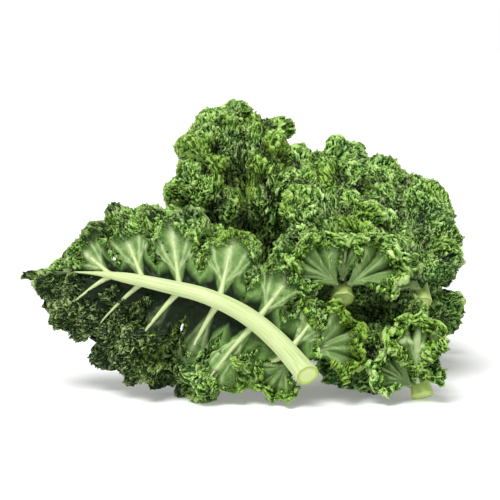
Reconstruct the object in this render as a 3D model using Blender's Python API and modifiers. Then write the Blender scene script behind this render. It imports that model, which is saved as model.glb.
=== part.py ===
"""A bunch of curly kale: six cut leaves in a heap, each a pale stalk with side ribs and a frilled green blade.

Metres, +Z up, X to the right along the front leaf, Y from the front of the heap to its back.
"""

import math

import bmesh
import bpy
import numpy as np

# Driving dimensions
BLADE_THICK = 0.0010
SEAM = 0.0020
CUT_RADIUS = 0.0078
TIP_RADIUS = 0.0012
RIB_RADIUS = 0.0021
RIB_TIP_RADIUS = 0.0009
RIB_DROP = 0.0034
NECK_POWER = 2.8
LOBE_STAGGER = 0.10
LOBE_ANGLE = 86
ANGLE_POWER = 2.6
FRILL_STEEPNESS = 1.4
CLEARANCE = 0.0012
CLEAR_SOFTNESS = 0.006

# The heap's middle and its lowest point, measured in the layout that the leaf routes below are written in
HEAP_MIDDLE = (-2.2, 17.6)
HEAP_FOOT = 0.0

# The blade's rows from the midrib to the margin: the margin steps that each skips and its share of the frills
LOBE_STEPS = 12
ROW_SKIPS = (6, 3, 1, 1, 1, 1)
ROW_FRILL = (0.0, 0.50, 0.50, 0.70, 0.90, 1.10)

STALK_STEPS = 14
ROUTE_SAMPLES = 240

STALK_COLOUR = (0.62, 0.74, 0.36, 1.0)
BLADE_COLOUR = (0.11, 0.27, 0.06, 1.0)
STALK_ROUGHNESS = 0.45
BLADE_ROUGHNESS = 0.55

# Each leaf: the route of its midrib from cut end to tip in millimetres, the way its upper face looks at the cut
# end and at the tip, the bare stalk before the blade, the blade's reach on its right and left, the share of it at
# the first lobes on each side and at the tip, how it bends across on each side (curvature, positive towards the
# upper face), how far its lobes rise in degrees, where the rows from midrib to margin lie, how far out its side
# ribs run, how far its margin curls up in degrees and from which share of the way out, the height of its frills,
# the lobes on a side, how far the cuts between them leave the midrib, how wide they fan in degrees, and a seed.
LEAVES = {
    "front_leaf": {
        "route": [(46, -88, 24), (24, -84, 49), (0, -79, 68), (-28, -75, 81), (-57, -70, 88), (-86, -62, 93),
                  (-114, -52, 96), (-138, -42, 96)],
        "faces": ((0.15, 0.90, -0.35), (0.40, 0.80, -0.20)),
        "bare": 0.006,
        "reach": (0.112, 0.078),
        "base": (0.50, 0.72),
        "tip": 0.62,
        "bend": (3.0, 3.0),
        "rise": 4,
        "rows": (0.0, 0.22, 0.46, 0.66, 0.84, 1.0),
        "rib": 0.36,
        "curl": 60,
        "bowl": 0.45,
        "frill": 0.0045,
        "lobes": 6,
        "sinus": 0.16,
        "fan": 2,
        "seed": 11,
    },
    "crown_leaf": {
        "route": [(17, 98, -0.9), (12, 76, 34), (5, 52, 74), (1, 32, 112), (-1, 22, 148), (-1, 26, 180),
                  (1, 44, 198), (3, 66, 198)],
        "faces": ((-0.10, -0.90, 0.30), (0.0, 0.0, 1.0)),
        "bare": 0.020,
        "reach": (0.080, 0.088),
        "base": (0.80, 0.80),
        "tip": 0.75,
        "bend": (-4.0, -4.0),
        "rise": 42,
        "rows": (0.0, 0.15, 0.36, 0.58, 0.80, 1.0),
        "rib": 0.22,
        "curl": -130,
        "bowl": 0.2,
        "frill": 0.0085,
        "lobes": 7,
        "sinus": 0.78,
        "fan": 8,
        "seed": 22,
    },
    "middle_leaf": {
        "route": [(74, -60, 84), (72, -42, 97), (67, -18, 120), (61, 4, 146), (55, 26, 165), (52, 50, 170)],
        "faces": ((0.0, -0.70, 0.72), (0.0, 0.10, 1.0)),
        "bare": 0.008,
        "reach": (0.076, 0.074),
        "base": (0.70, 0.70),
        "tip": 0.78,
        "bend": (-4.0, -4.0),
        "rise": 40,
        "rows": (0.0, 0.15, 0.36, 0.58, 0.80, 1.0),
        "rib": 0.22,
        "curl": -125,
        "bowl": 0.2,
        "frill": 0.0085,
        "lobes": 5,
        "sinus": 0.72,
        "fan": 8,
        "seed": 33,
    },
    "back_leaf": {
        "route": [(124, 124, -0.1), (119, 114, 44), (110, 106, 88), (102, 100, 118), (97, 100, 136),
                  (94, 108, 146)],
        "faces": ((-0.2, -0.9, 0.1), (0.0, -0.3, 1.0)),
        "bare": 0.012,
        "reach": (0.068, 0.066),
        "base": (0.85, 0.85),
        "tip": 0.85,
        "bend": (-4.0, -4.0),
        "rise": 35,
        "rows": (0.0, 0.15, 0.36, 0.58, 0.80, 1.0),
        "rib": 0.22,
        "curl": -100,
        "bowl": 0.2,
        "frill": 0.0080,
        "lobes": 4,
        "sinus": 0.72,
        "fan": 8,
        "seed": 44,
    },
    "right_leaf": {
        "route": [(140, -22, 74), (138, -6, 90), (134, 16, 116), (130, 38, 138), (127, 58, 150),
                  (125, 76, 154)],
        "faces": ((0.1, -0.70, 0.72), (0.1, 0.0, 1.0)),
        "bare": 0.008,
        "reach": (0.048, 0.066),
        "base": (0.70, 0.70),
        "tip": 0.75,
        "bend": (-4.0, -4.0),
        "rise": 40,
        "rows": (0.0, 0.15, 0.36, 0.58, 0.80, 1.0),
        "rib": 0.22,
        "curl": -125,
        "bowl": 0.2,
        "frill": 0.0085,
        "lobes": 4,
        "sinus": 0.72,
        "fan": 8,
        "seed": 55,
    },
    "low_leaf": {
        "route": [(130, -76, 7.1), (127, -66, 24), (120, -50, 41), (109, -34, 53), (94, -18, 58), (78, -2, 56)],
        "faces": ((-0.55, -0.70, 0.40), (-0.50, -0.40, 0.80)),
        "bare": 0.008,
        "reach": (0.040, 0.086),
        "base": (0.70, 0.62),
        "tip": 0.65,
        "bend": (-4.0, -6.0),
        "rise": 30,
        "rows": (0.0, 0.15, 0.36, 0.58, 0.80, 1.0),
        "rib": 0.22,
        "curl": -95,
        "bowl": 0.2,
        "frill": 0.0045,
        "lobes": 4,
        "sinus": 0.55,
        "fan": 8,
        "seed": 66,
    },
}

# Planes that keep neighbouring leaves apart: the leaf on the side the plane faces, the leaf behind it, a point of
# the plane in millimetres and the way it faces. The floor keeps every leaf above it.
BETWEEN = (
    ("middle_leaf", "crown_leaf", (32, 10, 140), (1.0, -0.25, 0.0)),
    ("right_leaf", "middle_leaf", (102, 20, 130), (1.0, 0.10, 0.0)),
    ("middle_leaf", "low_leaf", (90, -20, 70), (-0.10, -0.10, 1.0)),
    ("right_leaf", "low_leaf", (120, -10, 68), (0.10, 0.20, 1.0)),
    ("crown_leaf", "front_leaf", (0, -30, 110), (0.22, 1.0, 0.10)),
    ("back_leaf", "middle_leaf", (80, 74, 150), (0.0, 1.0, 0.20)),
    ("back_leaf", "right_leaf", (110, 82, 150), (0.0, 1.0, 0.10)),
    ("back_leaf", "crown_leaf", (54, 90, 120), (1.0, 0.30, 0.0)),
    ("low_leaf", "front_leaf", (58, -72, 30), (1.0, 0.45, 0.0)),
    ("middle_leaf", "front_leaf", (30, -52, 90), (0.60, 0.80, 0.10)),
    ("low_leaf", "crown_leaf", (50, 40, 40), (1.0, -0.60, 0.0)),
)
FLOOR = (0.0, 0.0, -0.0014)


def clear_scene():
    for old in list(bpy.data.objects):
        bpy.data.objects.remove(old, do_unlink=True)


def matt(name, colour, roughness):
    """A plain material of one colour."""
    made = bpy.data.materials.new(name)
    made.use_nodes = True
    shader = made.node_tree.nodes["Principled BSDF"]
    shader.inputs["Base Color"].default_value = colour
    shader.inputs["Roughness"].default_value = roughness
    made.diffuse_color = colour
    return made


def ease(value, low, high):
    """0 below low, 1 above high, smooth between."""
    t = np.clip((value - low) / (high - low), 0.0, 1.0)
    return t * t * (3.0 - 2.0 * t)


class Route:
    """A leaf's midrib: a smooth line with a frame (ahead, side, face) at each length along it."""

    def __init__(self, leaf):
        points = np.array(leaf["route"], float) / 1000.0
        points -= np.array([HEAP_MIDDLE[0], HEAP_MIDDLE[1], HEAP_FOOT]) / 1000.0
        whole = np.vstack([2 * points[0] - points[1], points, 2 * points[-1] - points[-2]])
        at = np.linspace(0, len(points) - 1, ROUTE_SAMPLES)
        cell = np.minimum(at.astype(int), len(points) - 2)
        t = (at - cell)[:, None]
        a, b, c, d = (whole[cell + k] for k in range(4))
        # A Catmull-Rom line through the hand-placed points
        curved = (2 * a - 5 * b + 4 * c - d) * t**2 + (3 * b - a - 3 * c + d) * t**3
        self.line = 0.5 * (2 * b + (c - a) * t + curved)
        steps = np.linalg.norm(np.diff(self.line, axis=0), axis=1)
        self.along = np.concatenate([[0.0], np.cumsum(steps)])
        self.length = self.along[-1]
        ahead = np.gradient(self.line, axis=0)
        self.ahead = ahead / np.linalg.norm(ahead, axis=1)[:, None]
        share = (self.along / self.length)[:, None]
        face = (1 - share) * np.array(leaf["faces"][0]) + share * np.array(leaf["faces"][1])
        face -= (face * self.ahead).sum(1)[:, None] * self.ahead
        self.face = face / np.linalg.norm(face, axis=1)[:, None]

    def frame(self, along):
        """Centre, ahead, side and face at lengths along the route, which runs on straight past its ends."""
        inside = np.clip(along, 0.0, self.length)
        centre, ahead, face = (
            np.stack([np.interp(inside, self.along, table[:, k]) for k in range(3)], axis=-1)
            for table in (self.line, self.ahead, self.face)
        )
        centre = centre + (along - inside)[..., None] * ahead
        side = np.cross(ahead, face)
        return centre, ahead, side, face

    def place(self, along, across, height, bend):
        """Carries points of the flat leaf onto the route, bent across it to the curvature bend."""
        centre, _, side, face = self.frame(along)
        turn = (bend * np.abs(across))[..., None]
        out = np.sign(across)[..., None] * side
        sideways = np.sin(turn) / bend
        upwards = (1.0 - np.cos(turn)) / bend
        normal = np.cos(turn) * face - np.sin(turn) * out
        return centre + sideways * out + upwards * face + height[..., None] * normal


def planes_of(name):
    """The planes a leaf keeps clear of, each as a point in metres and the way to the leaf's own side."""
    planes = [(np.array(FLOOR), np.array((0.0, 0.0, 1.0)))]
    shift = np.array([HEAP_MIDDLE[0], HEAP_MIDDLE[1], HEAP_FOOT])
    for ahead, behind, point, facing in BETWEEN:
        if name in (ahead, behind):
            unit = np.array(facing) / np.linalg.norm(facing)
            planes.append(((np.array(point, float) - shift) / 1000.0, unit if name == ahead else -unit))
    return planes


def held_clear(points, planes):
    """Points moved softly to the clear side of each plane. Those well clear of it stay where they are."""
    for origin, facing in planes:
        distance = (points - origin) @ facing - CLEARANCE
        near = np.minimum(distance, CLEAR_SOFTNESS)
        squeezed = CLEAR_SOFTNESS * np.exp((near - CLEAR_SOFTNESS) / CLEAR_SOFTNESS)
        points = points + (squeezed - near)[..., None] * facing
    return points


class Blade:
    """One leaf's blade, as a formula of how far round its margin (u) and how far out to it (v) a point is."""

    def __init__(self, name, leaf):
        self.leaf = leaf
        self.route = Route(leaf)
        self.planes = planes_of(name)
        self.lobes = leaf["lobes"]
        draw = np.random.default_rng(leaf["seed"])
        count = self.lobes + 1
        # Each lobe leans, reaches and rises a little differently, and the end lobe is shared by both sides
        self.lean = draw.uniform(-0.12, 0.12, (2, count))
        self.stretch = draw.uniform(0.90, 1.10, (2, count))
        # Neighbouring lobes rise by turns more and less, and so pass over each other
        self.lift = draw.uniform(-0.06, 0.06, (2, count)) + LOBE_STAGGER * (-1.0) ** np.arange(count)
        self.hook = draw.uniform(0.75, 1.25, (2, count))
        for table in (self.lean, self.stretch, self.lift, self.hook):
            table[:, -1] = table[0, -1]

    def lobe_value(self, table, side, p):
        """A lobe's own value at its middle, blended to the next lobe's at the cut between them."""
        return np.interp(p, np.arange(self.lobes + 1) + 0.5, table[side])

    def flat(self, side, u, v, frill):
        """Along, across and height of the flat leaf, with frill the share of the frills' height there."""
        p = (self.lobes + 0.5) * u
        leaf = self.leaf
        # The foot on the midrib runs fast past each cut and slowly under each lobe, so that its neck is narrow
        part = 2 * (p - np.floor(p)) - 1
        q = (np.floor(p) + 0.5 + 0.5 * np.sign(part) * np.abs(part) ** NECK_POWER) / (self.lobes + 0.5)
        start = leaf["bare"]
        end = self.route.length * 0.93
        foot = end - (end - start) * np.clip(1 - q, 0, 1) ** 1.15
        outline = leaf["sinus"] + (1 - leaf["sinus"]) * np.abs(np.sin(math.pi * p)) ** 0.6
        base = leaf["base"][side] * (1 - ease(u, 0.0, 0.40))
        swell = base + ease(u, 0.0, 0.40) - (1 - leaf["tip"]) * ease(u, 0.60, 1.0)
        reach = leaf["reach"][side] * swell * outline * self.lobe_value(self.stretch, side, p)
        closing = 1 - ease(u, 0.85, 1.0)
        fan = math.radians(leaf["fan"]) * np.sin(2 * math.pi * p) + self.lobe_value(self.lean, side, p)
        angle = math.radians(LOBE_ANGLE) * (1 - u**ANGLE_POWER) + fan * closing
        # The blade rises out of the midrib's groove at one slope, then its margin curls up in an arc
        rise = math.radians(leaf["rise"]) + self.lobe_value(self.lift, side, p) * closing
        bowl = leaf["bowl"]
        arc = math.radians(leaf["curl"]) / (1 - bowl) * self.lobe_value(self.hook, side, p)
        curled = np.maximum(v - bowl, 0.0)
        flat_out = reach * (np.minimum(v, bowl) + np.sin(arc * curled) / arc)
        flat_up = reach * (1 - np.cos(arc * curled)) / arc
        slope = rise + arc * curled
        strength = leaf["frill"] * frill * (0.30 + 0.70 * outline)
        out = flat_out * np.cos(rise) - flat_up * np.sin(rise) - strength * np.sin(slope)
        height = flat_out * np.sin(rise) + flat_up * np.cos(rise) + strength * np.cos(slope)
        along = foot + out * np.cos(angle)
        across = out * np.sin(angle)
        return along, across * (1 if side == 0 else -1), height

    def points(self, side, u, v, frill):
        along, across, height = self.flat(side, u, v, frill)
        placed = self.route.place(along, across, height, self.leaf["bend"][side])
        return held_clear(placed, self.planes)


def blade_mesh(name, blade):
    """The blade's middle surface as triangles, finer towards the margin."""
    shape = bmesh.new()
    corners = {}
    draw = np.random.default_rng(blade.leaf["seed"] + 1)
    total = round((blade.lobes + 0.5) * LOBE_STEPS)
    for side in range(2):
        for row, (v, skip) in enumerate(zip(blade.leaf["rows"], ROW_SKIPS)):
            steps = np.arange(0, total + 1, skip)
            out = np.full(len(steps), v)
            # A frill is no steeper than its steps allow, so that its two faces stay apart
            plain, inner = (blade.points(side, steps / total, w, np.zeros(len(steps))) for w in (out, out * 0.8))
            gaps = np.linalg.norm(np.diff(plain, axis=0), axis=1)
            room = np.minimum(np.append(gaps, gaps[-1]), np.insert(gaps, 0, gaps[0]))
            room = np.minimum(room, np.linalg.norm(plain - inner, axis=1))
            share = np.minimum(FRILL_STEEPNESS * room / blade.leaf["frill"], 1.0)
            up_or_down = np.where(steps % 2 == 0, 1.0, -1.0) * share * draw.uniform(0.6, 1.15, len(steps))
            if row == 1:
                # Over the side ribs the blade only rises, clear of them
                up_or_down = np.maximum(-up_or_down, 0.0)
            placed = blade.points(side, steps / total, out, ROW_FRILL[row] * up_or_down)
            for step, point in zip(steps, placed):
                shared = side == 1 and (row == 0 or step == total)
                corners[side, row, step] = corners[0, row, step] if shared else shape.verts.new(point)
    for side in range(2):
        for row, (inner, outer) in enumerate(zip(ROW_SKIPS, ROW_SKIPS[1:])):
            for step in range(0, total, inner):
                a, b = corners[side, row, step], corners[side, row, step + inner]
                outers = [corners[side, row + 1, step + k] for k in range(0, inner + 1, outer)]
                half = len(outers) // 2
                triangles = [(a, near, far) for near, far in zip(outers[:half], outers[1:half + 1])]
                triangles.append((a, outers[half], b))
                triangles += [(b, near, far) for near, far in zip(outers[half:-1], outers[half + 1:])]
                for triangle in triangles:
                    shape.faces.new(triangle if side == 0 else triangle[::-1])
    mesh = bpy.data.meshes.new(name)
    shape.to_mesh(mesh)
    shape.free()
    return mesh


def add_blade(name, blade, material, collection):
    """The blade: its middle surface thickened by half on each side."""
    made = bpy.data.objects.new(name, blade_mesh(name, blade))
    collection.objects.link(made)
    made.data.materials.append(material)
    made.data.shade_smooth()
    shell = made.modifiers.new("thickness", "SOLIDIFY")
    shell.thickness = BLADE_THICK
    shell.offset = 0.0
    return made


def tube(name, points, radii, sides_level, collection):
    """A closed tapering tube along points, as a welded mesh."""
    curve = bpy.data.curves.new(name, "CURVE")
    curve.dimensions = "3D"
    curve.bevel_depth = 1.0
    curve.bevel_resolution = sides_level
    curve.use_fill_caps = True
    spline = curve.splines.new("POLY")
    spline.points.add(len(points) - 1)
    for spot, point, radius in zip(spline.points, points, radii):
        spot.co = (*point, 1.0)
        spot.radius = radius
    guide = bpy.data.objects.new(name + "_guide", curve)
    collection.objects.link(guide)
    graph = bpy.context.evaluated_depsgraph_get()
    mesh = bpy.data.meshes.new_from_object(guide.evaluated_get(graph))
    bpy.data.objects.remove(guide)
    shape = bmesh.new()
    shape.from_mesh(mesh)
    bmesh.ops.remove_doubles(shape, verts=shape.verts, dist=1e-6)
    bmesh.ops.recalc_face_normals(shape, faces=shape.faces)
    shape.to_mesh(mesh)
    shape.free()
    made = bpy.data.objects.new(name, mesh)
    collection.objects.link(made)
    return made


def stalk_radius(share):
    """The midrib's radius from its cut end (0) to its tip (1)."""
    return TIP_RADIUS + (CUT_RADIUS - TIP_RADIUS) * (1 - share) ** 0.9


def stalk_points(route):
    """The midrib's centre line, just under the blade, and its radii."""
    along = np.linspace(0.0, route.length * 0.97, STALK_STEPS)
    radii = stalk_radius(along / route.length)
    centre, _, _, face = route.frame(along)
    return centre - face * (radii + BLADE_THICK / 2 + SEAM)[:, None], radii


def rib_points(blade, side, number):
    """A side rib's centre line under the middle of its lobe, from inside the midrib, and its radii."""
    u = (number + 0.5) / (blade.lobes + 0.5)
    reach = blade.leaf["rib"]
    v = np.array([0.0, reach * 0.4, reach])
    radii = np.linspace(RIB_RADIUS, RIB_TIP_RADIUS, len(v))
    along, across, height = blade.flat(side, np.full(len(v), u), v, 0.0)
    under = height - (radii + BLADE_THICK / 2 + SEAM + RIB_DROP * (v / reach) ** 2)
    return blade.route.place(along, across, under, blade.leaf["bend"][side]), radii


def add_stalk(name, blade, material, collection):
    """The midrib from its cut end, with the side ribs joined to it by one union."""
    points, radii = stalk_points(blade.route)
    made = tube(name, points, radii, 2, collection)
    made.data.materials.append(material)
    ribs = bpy.data.collections.new(name + "_ribs")
    bpy.context.scene.collection.children.link(ribs)
    for side in range(2):
        for number in range(blade.lobes):
            line, widths = rib_points(blade, side, number)
            tube(f"{name}_rib", line, widths, 0, ribs)
    union = made.modifiers.new("side ribs", "BOOLEAN")
    union.operation = "UNION"
    union.operand_type = "COLLECTION"
    union.collection = ribs
    union.solver = "MANIFOLD"
    graph = bpy.context.evaluated_depsgraph_get()
    joined = bpy.data.meshes.new_from_object(made.evaluated_get(graph))
    made.modifiers.clear()
    made.data = joined
    for rib in list(ribs.objects):
        bpy.data.objects.remove(rib)
    bpy.data.collections.remove(ribs)
    made.data.shade_smooth()
    made.data.set_sharp_from_angle(angle=math.radians(50))
    return made


def main():
    clear_scene()
    bunch = bpy.data.collections.new("kale_bunch")
    bpy.context.scene.collection.children.link(bunch)
    pale = matt("pale_stalk", STALK_COLOUR, STALK_ROUGHNESS)
    green = matt("green_blade", BLADE_COLOUR, BLADE_ROUGHNESS)
    for name, leaf in LEAVES.items():
        blade = Blade(name, leaf)
        add_blade(name + "_blade", blade, green, bunch)
        add_stalk(name + "_stalk", blade, pale, bunch)


main()
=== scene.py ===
"""Dresses the kale bunch: six cut leaves of curly kale in a heap, pale stalks with frilled green blades.

Each leaf is a midrib with its side ribs and two half blades that meet along it. Four leaves also have small
leaflets low on the stalk. A half blade is one closed sheet whose two faces carry frills of their own: thin
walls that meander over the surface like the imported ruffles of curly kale.
Metres, +Z up, X to the right along the front leaf, Y from the front of the heap to its back.
"""

from __future__ import annotations

import logging
import math
from dataclasses import dataclass
from enum import Enum

import bpy
import numpy as np
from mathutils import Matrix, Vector

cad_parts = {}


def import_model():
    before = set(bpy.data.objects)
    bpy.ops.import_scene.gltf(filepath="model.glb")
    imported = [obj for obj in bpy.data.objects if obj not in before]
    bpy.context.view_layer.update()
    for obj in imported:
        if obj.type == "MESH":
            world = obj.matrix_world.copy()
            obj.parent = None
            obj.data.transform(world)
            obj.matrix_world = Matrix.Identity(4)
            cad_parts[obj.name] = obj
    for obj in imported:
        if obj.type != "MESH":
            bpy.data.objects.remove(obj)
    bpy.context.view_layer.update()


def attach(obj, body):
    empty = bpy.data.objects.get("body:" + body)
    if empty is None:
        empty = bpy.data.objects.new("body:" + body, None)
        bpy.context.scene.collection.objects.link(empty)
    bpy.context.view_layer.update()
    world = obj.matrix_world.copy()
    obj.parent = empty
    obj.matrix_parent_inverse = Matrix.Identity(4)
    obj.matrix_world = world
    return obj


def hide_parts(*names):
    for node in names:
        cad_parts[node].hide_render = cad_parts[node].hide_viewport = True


log = logging.getLogger("kale_bunch")

MM = 0.001
HEAP_MIDDLE = (-2.2, 17.6, 0.0)
ROUTE_SAMPLES = 400
CLEARANCE = 0.0012
CLEAR_SOFTNESS = 0.006
FLOOR_LEVEL = -0.0014
BLADE_THICK = 0.0009


class Face(Enum):
    """The two faces of a blade."""

    UPPER = 1
    UNDER = -1


class Attribute(Enum):
    """The values that a blade or stalk carries at each vertex for its material."""

    CREST = "crest"
    UNDER = "under"
    VEIN = "vein"
    TONE = "tone"
    SHADE = "shade"
    FIBRE = "fibre"
    CUT = "cut"


Array = np.ndarray
Socket = bpy.types.NodeSocket
Triple = tuple[float, float, float]
Sides = tuple[tuple[float, ...], tuple[float, ...]]
Mesh = tuple[Array, Array, dict[Attribute, Array]]


@dataclass(frozen=True)
class LeafForm:
    """The sizes of one leaf.

    Args:
        name: the leaf's name, which its two CAD nodes start with.
        route: the midrib's points from cut end to tip, in millimetres of the layout.
        faces: the way the upper face looks at the cut end and at the tip.
        bare: the bare stalk before the blade, in metres.
        reach: how far the blade reaches right and left of the midrib.
        base: the share of the reach at the first lobes on each side.
        tip: the share of the reach at the tip.
        rise: how far the lobes rise, in degrees.
        curl: how far the margin curls, in degrees, upwards where positive.
        lobes: the lobes on a side.
        seed: the seed of the leaf's own variation.
        bend: the curvature across the leaf on each side.
        bowl: the share of the way out from which it curls.
        sinus: how far the cuts between lobes stay from the midrib, as a share of the reach.
        fan: how wide the lobes fan, in degrees.
        tone: how yellow (positive) or blue (negative) the leaf's green is.
        spacing: the distance between vertices at the margin.
        sunk: how far the blade is set in below the surface of the solid, to leave room for its frills.
        neck: how narrow the lobes are at the midrib, narrower where larger.
        under_start: where the frills start on the under face of each lobe, as a share of the way out.
        sized: how far each lobe reaches beside the solid's.
        dents: bulges and hollows as the front shows them, in millimetres: x, z, width, height, push
        outwards, and then the painted shade, painted light where negative. A dent with no push only
        paints shade.
        shade: how much painted shade (positive, darker) or painted light (negative, brighter) each lobe
            carries.
        fine_under: whether the under face is the one that is seen, and so the finer one.
        slant: how far the cut end is cut aslant, towards the front.
    """

    name: str
    route: tuple[Triple, ...]
    faces: tuple[Triple, Triple]
    bare: float
    reach: tuple[float, float]
    base: tuple[float, float]
    tip: float
    rise: float
    curl: float
    lobes: int
    seed: int
    bend: tuple[float, float] = (-4.0, -4.0)
    bowl: float = 0.20
    sinus: float = 0.80
    fan: float = 8.0
    tone: float = 0.0
    spacing: float = 0.00063
    sunk: float = 0.0020
    neck: float = 2.8
    under_start: Sides = ((0.80,), (0.80,))
    sized: Sides = ((1.0,), (1.0,))
    dents: tuple[tuple[float, float, float, float, float, float], ...] = ()
    shade: Sides = ((0.0,), (0.0,))
    fine_under: bool = False
    slant: float = 0.0


LEAVES = (
    LeafForm(
        name="front_leaf", seed=11, lobes=6, fine_under=True, spacing=0.00089,
        route=((46, -88, 24), (24, -84, 49), (0, -79, 68), (-28, -75, 81), (-57, -70, 88), (-86, -62, 93),
               (-114, -52, 96), (-138, -42, 96)),
        faces=((0.15, 0.90, -0.35), (0.40, 0.80, -0.20)),
        bare=0.006, reach=(0.112, 0.078), base=(0.50, 0.72), tip=0.63, bend=(3.0, 3.0), rise=4, curl=60,
        bowl=0.45, sinus=0.30, fan=17, neck=5.5, tone=0.05, sunk=0.0, slant=0.9,
        under_start=((0.50, 0.52, 0.52, 0.30, 0.22, 0.34, 0.40), (0.52, 0.50, 0.52, 0.50, 0.48, 0.45, 0.40)),
        sized=((0.95, 0.96, 0.90, 0.86, 0.80, 0.84, 0.80), (1.0, 1.0, 1.0, 1.0, 1.0, 1.0, 0.80)),
        # Per lobe, painted light where negative and painted shade where positive: the lower side is lit near
        # the cut end and shaded further along, the upper side a little lit.
        shade=((-1.0, -0.85, 0.55, 0.85, 1.0, 1.0, 0.6), (-0.5, -0.5, -0.4, -0.4, -0.3, -0.1, 0.1)),
    ),
    LeafForm(
        name="crown_leaf", seed=22, lobes=7, sinus=0.86, tone=0.25,
        route=((17, 98, -0.9), (12, 76, 34), (5, 52, 74), (1, 32, 112), (-1, 22, 148), (-1, 26, 180),
               (1, 44, 198), (3, 66, 198)),
        faces=((-0.10, -0.90, 0.30), (0.0, 0.0, 1.0)),
        bare=0.020, reach=(0.080, 0.088), base=(0.80, 0.80), tip=0.75, rise=42, curl=-130,
        sized=((1, 1, 1, 1, 1, 0.95, 0.86, 0.90), (1.15, 1.15, 1.12, 1.05, 0.90, 0.98, 1.0, 0.90)),
        dents=((-4, 172, 10, 26, -4, 1.0), (-18, 140, 26, 15, 8, -0.2), (4, 122, 16, 9, -4, 0.8),
               (-34, 206, 16, 14, 6, -0.2), (24, 178, 14, 24, 4, -0.1), (-34, 176, 12, 20, 3, -0.4),
               (-56, 156, 10, 26, 7, -0.3), (-46, 164, 12, 5, -3, 0.5), (22, 210, 16, 14, 7, 0.0),
               (-48, 186, 12, 11, 6, 0.0)),
    ),
    LeafForm(
        name="middle_leaf", seed=33, lobes=5, tone=0.2,
        route=((74, -60, 84), (72, -42, 97), (67, -18, 120), (61, 4, 146), (55, 26, 165), (52, 50, 170)),
        faces=((0.0, -0.70, 0.72), (0.0, 0.10, 1.0)),
        bare=0.008, reach=(0.076, 0.074), base=(0.70, 0.70), tip=0.78, rise=40, curl=-125,
        dents=((32, 118, 10, 12, -5, 0.8), (50, 160, 20, 20, 4, -0.2), (88, 105, 9, 10, -4, 0.6),
               (34, 186, 16, 14, 7, 0.0), (70, 140, 14, 8, -2, 0.5)),
    ),
    LeafForm(
        name="back_leaf", seed=44, lobes=4, tone=-0.3, sunk=-0.0050,
        route=((124, 124, -0.1), (119, 114, 44), (110, 106, 88), (102, 100, 118), (97, 100, 136),
               (94, 108, 146)),
        faces=((-0.2, -0.9, 0.1), (0.0, -0.3, 1.0)),
        bare=0.012, reach=(0.068, 0.066), base=(0.85, 0.85), tip=0.85, rise=35, curl=-100,
        dents=((116, 186, 20, 12, 7, 0.0),),
    ),
    LeafForm(
        name="right_leaf", seed=55, lobes=4, tone=-0.1, sunk=-0.0040,
        route=((140, -22, 74), (138, -6, 90), (134, 16, 116), (130, 38, 138), (127, 58, 150),
               (125, 76, 154)),
        faces=((0.1, -0.70, 0.72), (0.1, 0.0, 1.0)),
        bare=0.008, reach=(0.048, 0.066), base=(0.70, 0.70), tip=0.75, rise=40, curl=-125,
        # The second dent pushes nothing: it is a patch of painted shade.
        dents=((146, 174, 18, 14, 9, 0.0), (122, 70, 26, 9, 0, 0.9)),
    ),
    LeafForm(
        name="low_leaf", seed=66, lobes=4, sinus=0.66, tone=-0.25,
        route=((130, -76, 7.1), (127, -66, 24), (120, -50, 41), (109, -34, 53), (94, -18, 58),
               (78, -2, 56)),
        faces=((-0.55, -0.70, 0.40), (-0.50, -0.40, 0.80)),
        bare=0.008, reach=(0.040, 0.086), base=(0.70, 0.62), tip=0.65, bend=(-4.0, -6.0), rise=30, curl=-95,
        # These dents push nothing: they are patches of painted shade.
        dents=((118, 68, 26, 9, 0, 0.9), (50, 56, 8, 16, 0, 0.9)),
    ),
)


@dataclass(frozen=True)
class FanForm:
    """A small leaflet low on a stalk: a veined fan with a frilled margin.

    Args:
        leaf: the leaf that it belongs to.
        foot: where it leaves the stalk, in millimetres of the layout.
        ahead: the way it points.
        face: the way its open face looks.
        length: its length in metres.
        spread: half its opening angle in degrees.
        seed: the seed of its own variation.
        tone: how yellow (positive) or blue (negative) its green is; below -0.5 the fan is also given painted
            shade.
        stem: how strong its thick forked rib is, 0 for none.
    """

    leaf: str
    foot: Triple
    ahead: Triple
    face: Triple
    length: float
    spread: float
    seed: int
    tone: float = 0.3
    stem: float = 0.0


FANS = (
    FanForm("middle_leaf", (71, -58, 87), (-0.70, -0.25, 0.70), (0.1, -0.9, 0.2), 0.046, 36, 1),
    FanForm("middle_leaf", (74, -54, 90), (0.05, -0.20, 1.0), (0.0, -1.0, 0.1), 0.036, 28, 2),
    FanForm("middle_leaf", (77, -58, 87), (0.78, -0.20, 0.62), (-0.1, -0.9, 0.3), 0.047, 36, 3),
    # This leaflet hangs low under the others: its low tone makes it darker blue-green and gives it painted
    # shade.
    FanForm("middle_leaf", (69, -50, 84), (-0.85, 0.10, -0.15), (0.2, -0.9, 0.3), 0.038, 38, 4, -0.8),
    FanForm("front_leaf", (44, -78, 38), (0.86, 0.05, 0.50), (0.0, -0.95, 0.3), 0.048, 46, 5, 0.9),
    FanForm("front_leaf", (34, -84, 34), (-0.60, -0.15, -0.60), (0.0, -0.95, 0.3), 0.032, 42, 6, 0.5),
    FanForm("low_leaf", (130, -78, 14), (-0.06, -0.12, 1.0), (0.0, -1.0, 0.2), 0.054, 26, 7, 0.5, 1.0),
    FanForm("low_leaf", (127, -74, 12), (-0.80, -0.20, 0.62), (0.1, -0.9, 0.3), 0.036, 34, 8, 0.1),
    FanForm("right_leaf", (138, -20, 78), (-0.75, -0.25, 0.55), (0.1, -0.9, 0.3), 0.036, 34, 9, 0.0),
)

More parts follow.
